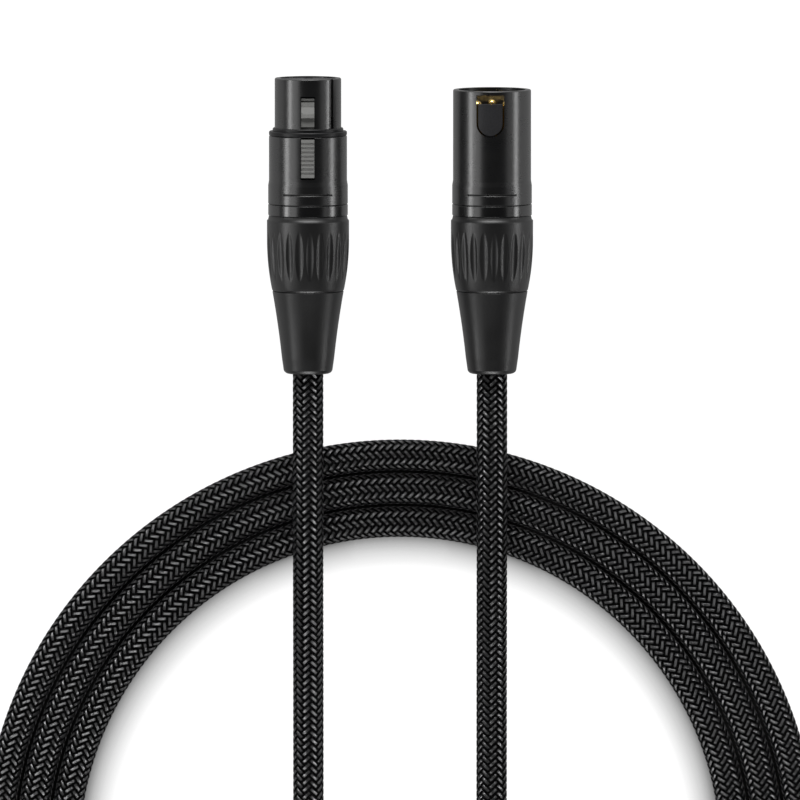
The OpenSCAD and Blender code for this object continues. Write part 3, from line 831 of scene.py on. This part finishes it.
@dataclass
class Bushing:
    """Fluted grip behind each shell, with a thread on its spigot."""

    rear: float = -0.01585
    length: float = 0.0184
    rear_radius: float = 0.0087
    front_radius: float = 0.010
    barrel: float = 0.0122
    flutes: int = 24
    flute_turn: float = 3.0
    flute_from: float = 0.0028
    flute_length: float = 0.012
    flute_depth: float = 0.0004
    flute_round: float = 0.00113
    flute_margin: float = 0.0003
    rear_edge: tuple[Pair, ...] = ((0.0, 0.0003), (0.00008, 0.0001))
    grip_from: float = 0.00025
    grip_counts: tuple[int, int, int] = (8, 62, 6)
    spigot_radius: float = 0.00832
    spigot_length: float = 0.00484
    spigot_step: float = 0.0001
    spigot_bevel: float = 0.0002
    thread_pitch: float = 0.001
    thread_depth: float = 0.00035
    thread_ends: Pair = (0.0005, 0.0004)
    thread_slope: float = 2.2
    thread_flat: float = 0.15
    bore: float = 0.00558
    bore_depth: float = 0.00298
    throat: float = 0.00472
    throat_end: float = 0.0045
    hollow: float = 0.00637
    hollow_from: float = 0.0092
    lip: float = 0.0009
    lip_sunk: float = 0.0003
    bevel: float = 0.0002
    bevel_round: Pair = (0.0001, 0.8)
    samples: int = 480
    axis_height: float = 0.010
    line_offset: float = 0.0224

    def _lip_end(self) -> float:
        """Where the grip's full width ends, from its rear edge."""
        return self.length - self.lip - self.lip_sunk

    def _grip(self) -> list[Pair]:
        """The grip's outline as distances from its rear edge and radii."""
        rise = self.front_radius - self.rear_radius
        curve = (self.barrel**2 + rise**2) / (2 * rise)
        flute_to = self.flute_from + self.flute_length
        behind, fluted, ahead = self.grip_counts
        stations = np.concatenate([
            np.linspace(self.grip_from, self.flute_from - self.flute_margin, behind),
            np.linspace(self.flute_from, flute_to, fluted),
            np.linspace(flute_to + self.flute_margin, self._lip_end(), ahead),
        ])
        left = np.maximum(self.barrel - stations, 0.0)
        radii = self.front_radius - curve + np.sqrt(curve**2 - left**2)
        return list(zip(stations.tolist(), radii.tolist()))

    def _outline(self) -> list[Pair]:
        """The whole section, from the rear edge over the outside and back through the bore."""
        tip = self.length + self.spigot_length
        lip_radius = self.front_radius - self.lip_sunk
        bevel_back, bevel_share = self.bevel_round
        step = self.spigot_step
        outline = [(0.0, self.bore)]
        outline += [(station, self.rear_radius - less) for station, less in self.rear_edge]
        outline += self._grip()
        outline += [(self.length - self.lip, lip_radius)]
        outline += [(self.length - bevel_back, lip_radius - bevel_share * self.bevel)]
        outline += [(self.length, lip_radius - self.bevel), (self.length, self.spigot_radius)]
        outline += [(s, self.spigot_radius) for s in np.arange(self.length + 2 * step, tip - step, step)]
        outline += [(tip, self.spigot_radius - self.spigot_bevel), (tip, self.hollow)]
        outline += [(self.hollow_from, self.hollow), (self.throat_end, self.throat)]
        outline += [(self.bore_depth, self.throat), (self.bore_depth, self.bore)]
        return outline

    def build(self, side: Side, wardrobe: Wardrobe) -> None:
        """Makes one bushing in the place of its node.

        Args:
            side: the connector that it belongs to.
            wardrobe: gives its material.
        """
        outline = self._outline()
        station, radius = (np.array(column) for column in zip(*outline))
        turn = np.linspace(0.0, FULL_TURN, self.samples, endpoint=False)
        wide = np.repeat(radius[:, None], self.samples, axis=1)
        wide -= self._flutes(station, radius, turn)
        wide -= self._thread(station, radius, turn)
        x = side.value * self.line_offset + wide * np.sin(turn)
        y = np.repeat((self.rear + station)[:, None], self.samples, axis=1)
        z = self.axis_height + wide * np.cos(turn)
        points = np.stack([x, y, z], axis=-1).reshape(-1, 3)
        rings = len(outline)
        quads = MeshMaker.tube_quads(rings, self.samples)
        close = MeshMaker.tube_quads(2, self.samples)
        close = np.where(close >= self.samples, close - self.samples, close + (rings - 1) * self.samples)
        piece = MeshMaker.build(f"{side.label}_grip", points, np.concatenate([quads, close]))
        wardrobe.dress(piece, "bushing_plastic")
        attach(piece, f"{side.label}_bushing")
        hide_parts(f"{side.label}_bushing")
        LOG.info("%s bushing: %d faces", side.label, len(piece.data.polygons))

    def _flutes(self, station: np.ndarray, radius: np.ndarray, turn: np.ndarray) -> np.ndarray:
        """How deep the flutes cut at each point of the grip."""
        middle = self.flute_from + self.flute_length / 2
        along = 1.0 - ((station - middle) / (self.flute_length / 2)) ** 2
        pitch = FULL_TURN / self.flutes
        off = (turn - math.radians(self.flute_turn) + pitch / 2) % pitch - pitch / 2
        aside = radius[:, None] * off[None, :]
        depth = self.flute_depth * along[:, None] - aside**2 / (2 * self.flute_round)
        outside = (radius > self.spigot_radius) & (station > 0.0) & (station < self._lip_end())
        return np.where(outside[:, None], np.maximum(depth, 0.0), 0.0)

    def _thread(self, station: np.ndarray, radius: np.ndarray, turn: np.ndarray) -> np.ndarray:
        """How deep the thread cuts at each point of the spigot."""
        run_in, run_out = self.thread_ends
        start, end = self.length + run_in, self.length + self.spigot_length - run_out
        phase = (station[:, None] / self.thread_pitch - turn[None, :] / FULL_TURN) % 1.0
        groove = np.clip(self.thread_slope * np.abs(phase - 0.5) - self.thread_flat, 0.0, 1.0)
        spigot = np.isclose(radius, self.spigot_radius) & (station > start) & (station < end)
        return np.where(spigot[:, None], self.thread_depth * groove, 0.0)


@dataclass
class Connectors:
    """The CAD nodes of both connectors, which keep their shapes and get finishes."""

    hidden: tuple[str, ...] = ("cable_coil", "female_lead", "male_lead", "female_bushing", "male_bushing")

    def dress(self, frame: Mapping[str, object], wardrobe: Wardrobe) -> None:
        """Gives every shown node its material.

        Args:
            frame: the loaded frame.
            wardrobe: gives the materials.
        """
        slots = {part["node"]: part["material_slot"] for part in frame["record"]["subparts"]}
        for name, node in frame["nodes"].items():
            if name not in self.hidden:
                wardrobe.dress(node, slots[name])
                LOG.info("%s: %s", name, slots[name])


@dataclass(frozen=True)
class Softbox:
    """A rectangular lamp that faces a point."""

    name: str
    place: Point
    size: Pair
    radiance: float
    target: Point = (0.0, -0.04, 0.01)

    def build(self) -> None:
        """Makes the lamp, with the power that gives its radiance."""
        lamp = bpy.data.lights.new(self.name, "AREA")
        lamp.shape = "RECTANGLE"
        lamp.size, lamp.size_y = self.size
        lamp.energy = self.radiance * math.pi * self.size[0] * self.size[1]
        made = bpy.data.objects.new(self.name, lamp)
        bpy.context.scene.collection.objects.link(made)
        made.location = self.place
        way = np.array(self.target) - np.array(self.place)
        way /= np.linalg.norm(way)
        made.rotation_euler = (math.acos(-way[2]), 0.0, math.atan2(-way[0], way[1]))


@dataclass
class Studio:
    """The camera, the pale floor and the lamps."""

    aim: Point = (0.0, -0.04298, 0.005)
    distance: float = 4.0
    tilt: float = 4.6
    frame_width: float = 0.1952
    sensor: float = 36.0
    clip_end: float = 20.0
    world: float = 0.022
    floor_half: float = 3.0
    floor_white: float = 0.97
    floor_mirrored: float = 0.25
    floor_colour: Colour = (0.2, 0.2, 0.2)
    floor_seen: Colour = (0.12, 0.12, 0.12)
    ring_middle: Point = (0.0, -0.155, 0.0)
    ring_shade: Pair = (0.068, 0.0985)
    ring_fade: Pair = (0.004, 0.001)
    ring_inside: float = 0.0784
    shade_width: float = 0.0077
    shade_curve: float = 0.6
    shade_reach: float = 0.012
    sky_samples: int = 16
    sky_curve: float = 2.2
    sky_edge: Pair = (0.1, 0.45)
    lamps: tuple[Softbox, ...] = (
        Softbox("left_box", (-0.98, 0.05, 0.47), (1.0, 0.2), 4.7),
        Softbox("left_fill", (-0.75, 0.05, 0.80), (1.0, 0.42), 0.95),
        Softbox("right_box", (1.04, 0.05, 0.28), (1.0, 0.2), 4.2),
        Softbox("right_fill", (0.88, 0.05, 0.70), (1.0, 0.3), 0.35),
        Softbox("far_box", (0.0, 1.15, 0.50), (0.8, 0.3), 26.0),
        Softbox("near_box", (0.0, -1.25, 0.54), (0.8, 0.3), 20.0),
    )

    def build_camera(self) -> None:
        """Makes the camera, a little past straight overhead."""
        camera = bpy.data.cameras.new("camera")
        camera.sensor_width = self.sensor
        camera.lens = self.sensor * self.distance / self.frame_width
        camera.clip_end = self.clip_end
        made = bpy.data.objects.new("camera", camera)
        bpy.context.scene.collection.objects.link(made)
        lean = math.radians(self.tilt)
        x, y, z = self.aim
        made.location = (x, y + self.distance * math.sin(lean), z + self.distance * math.cos(lean))
        made.rotation_euler = (-lean, 0.0, 0.0)
        bpy.context.scene.camera = made

    def build(self) -> None:
        """Makes the floor, the world and the lamps."""
        self._floor()
        world = bpy.data.worlds.new("studio")
        bpy.context.scene.world = world
        world.use_nodes = True
        ground = world.node_tree.nodes["Background"]
        ground.inputs["Color"].default_value = (1.0, 1.0, 1.0, 1.0)
        ground.inputs["Strength"].default_value = self.world
        for box in self.lamps:
            box.build()
        bpy.context.scene.view_settings.view_transform = "Standard"

    def _floor(self) -> None:
        """A white floor: its lamp-lit share keeps a faint real shadow, and its glow carries a painted shade
        between the turns and inside the ring.
        """
        half = self.floor_half
        corners = np.array([(-half, -half, 0.0), (half, -half, 0.0), (half, half, 0.0), (-half, half, 0.0)])
        floor = MeshMaker.build("floor", corners, np.array([[0, 1, 2, 3]]))
        shader = Shader("floor")
        seen, glossy, through = (
            shader.node("ShaderNodeLightPath", output=f"Is {kind} Ray")
            for kind in ("Camera", "Glossy", "Transmission")
        )
        shade = self._shade(shader)
        # painted shade: the lamp-lit share that the camera sees is darkened by it too
        shaded = shader.tint(shade, (0.0, 0.0, 0.0), self.floor_seen)
        shader.set(
            Base_Color=shader.tint(seen, self.floor_colour, shaded),
            Roughness=0.9,
            Specular_IOR_Level=0.0,
            Emission_Color=(1.0, 1.0, 1.0),
            # painted shade: the camera sees the floor's glow darkened by it
            Emission_Strength=seen * shade * self.floor_white + (glossy + through) * self.floor_mirrored,
        )
        floor.data.materials.append(shader.material)

    def _shade(self, shader: Shader) -> Signal:
        """The painted shade between the turns and just inside the ring: an ambient-occlusion term, no
        deeper than a curve by distance from the ring's inside.

        Args:
            shader: the floor's shader.

        Returns:
            1 on the open floor, and less where the turns close it in.
        """
        inner, outer = self.ring_shade
        inner_fade, outer_fade = self.ring_fade
        ends = {0: shader.place(), 1: self.ring_middle}
        radius = shader.node("ShaderNodeVectorMath", {"operation": "DISTANCE"}, ends, output="Value")
        beyond = radius.smooth(outer - outer_fade, outer + outer_fade)
        ring = radius.smooth(inner - inner_fade, inner + inner_fade) * (1.0 - beyond)
        reach = {"Distance": self.shade_reach}
        sky = shader.node("ShaderNodeAmbientOcclusion", {"samples": self.sky_samples}, reach, "AO")
        room = ((self.ring_inside - radius) / self.shade_width).clip() ** self.shade_curve
        light = (sky ** self.sky_curve * sky.smooth(*self.sky_edge)).larger(room)
        return 1.0 - ring * (1.0 - light)


def main() -> None:
    """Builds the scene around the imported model."""
    logging.basicConfig(level=logging.INFO, format="%(message)s")
    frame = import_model()
    wardrobe = Wardrobe(Finishes())
    studio = Studio()
    studio.build_camera()
    BraidedCable().build(wardrobe)
    bushing = Bushing()
    for side in Side:
        bushing.build(side, wardrobe)
    Connectors().dress(frame, wardrobe)
    studio.build()


if __name__ == "__main__":
    main()
